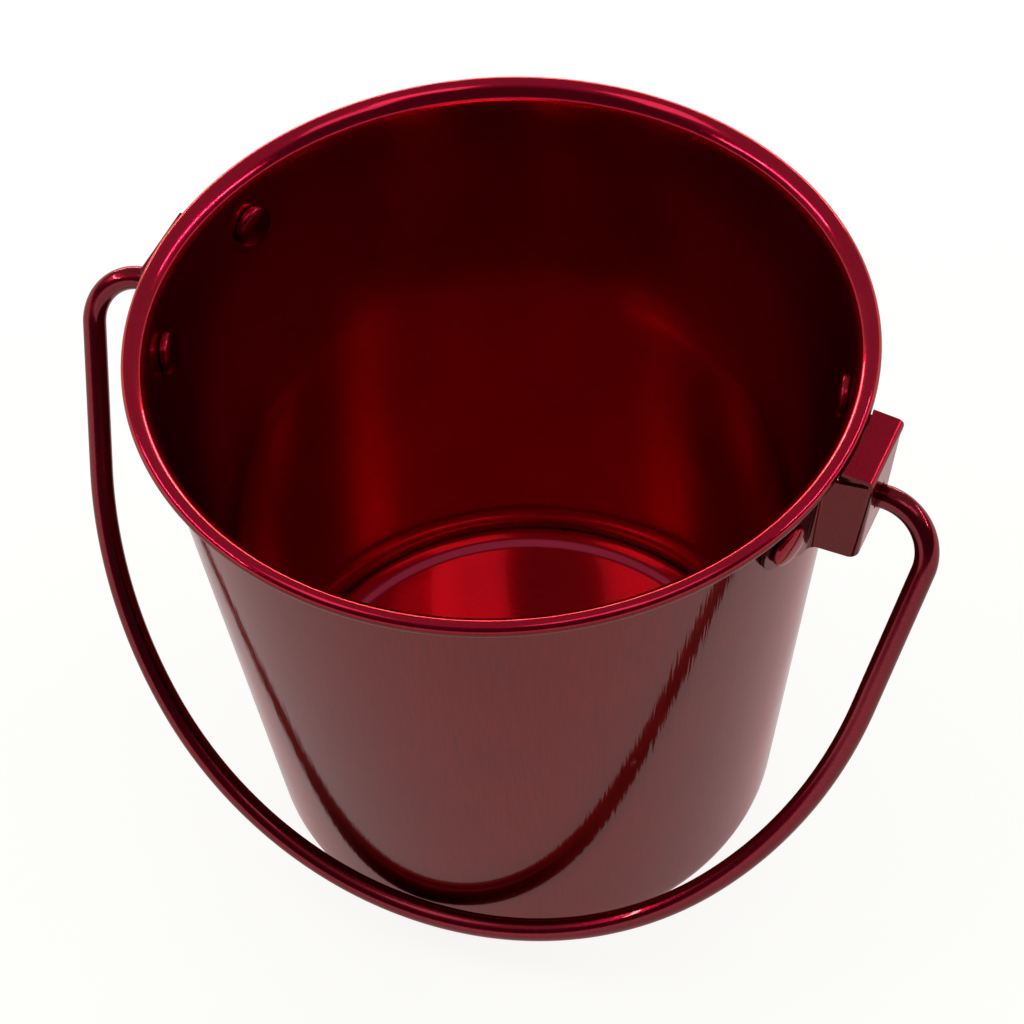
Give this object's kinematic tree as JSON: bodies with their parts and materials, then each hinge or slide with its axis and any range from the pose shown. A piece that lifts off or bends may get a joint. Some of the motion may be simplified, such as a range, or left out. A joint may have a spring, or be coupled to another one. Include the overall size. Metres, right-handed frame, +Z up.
{
  "type": "paint can",
  "caption": "Open tapered metal pail for paint, with a rolled rim, a floor pan, riveted boxed ears and a wire bail that swings over the mouth.",
  "frame": {"origin": "centre of the base, on the plane that the pail stands on", "axes": "+Z up along the pail's axis, +X towards the right ear along the bail's hinge line, -Y the front, where the bail rests"},
  "size_m": [0.2004, 0.16, 0.1443],
  "materials": {
    "body": "glossy translucent red lacquer over vertically brushed steel",
    "floor": "glossy translucent red lacquer over plain steel",
    "ear": "glossy translucent red lacquer, slightly pooled at the folds",
    "rivet": "glossy translucent red lacquer",
    "bail": "glossy translucent red lacquer over drawn wire"
  },
  "bodies": {
    "pail": {"can_body": "body", "floor_pan": "floor", "ear_right": "ear", "ear_left": "ear", "rivet_right_front": "rivet", "rivet_right_rear": "rivet", "rivet_left_front": "rivet", "rivet_left_rear": "rivet"},
    "bail": {"bail": "bail"}
  },
  "joints": [
    {"name": "bail_swing", "type": "hinge", "parent": "pail", "child": "bail", "pos_m": [0, 0, 0.128], "axis": [-1, 0, 0], "range_deg": [0, 301]}
  ]
}
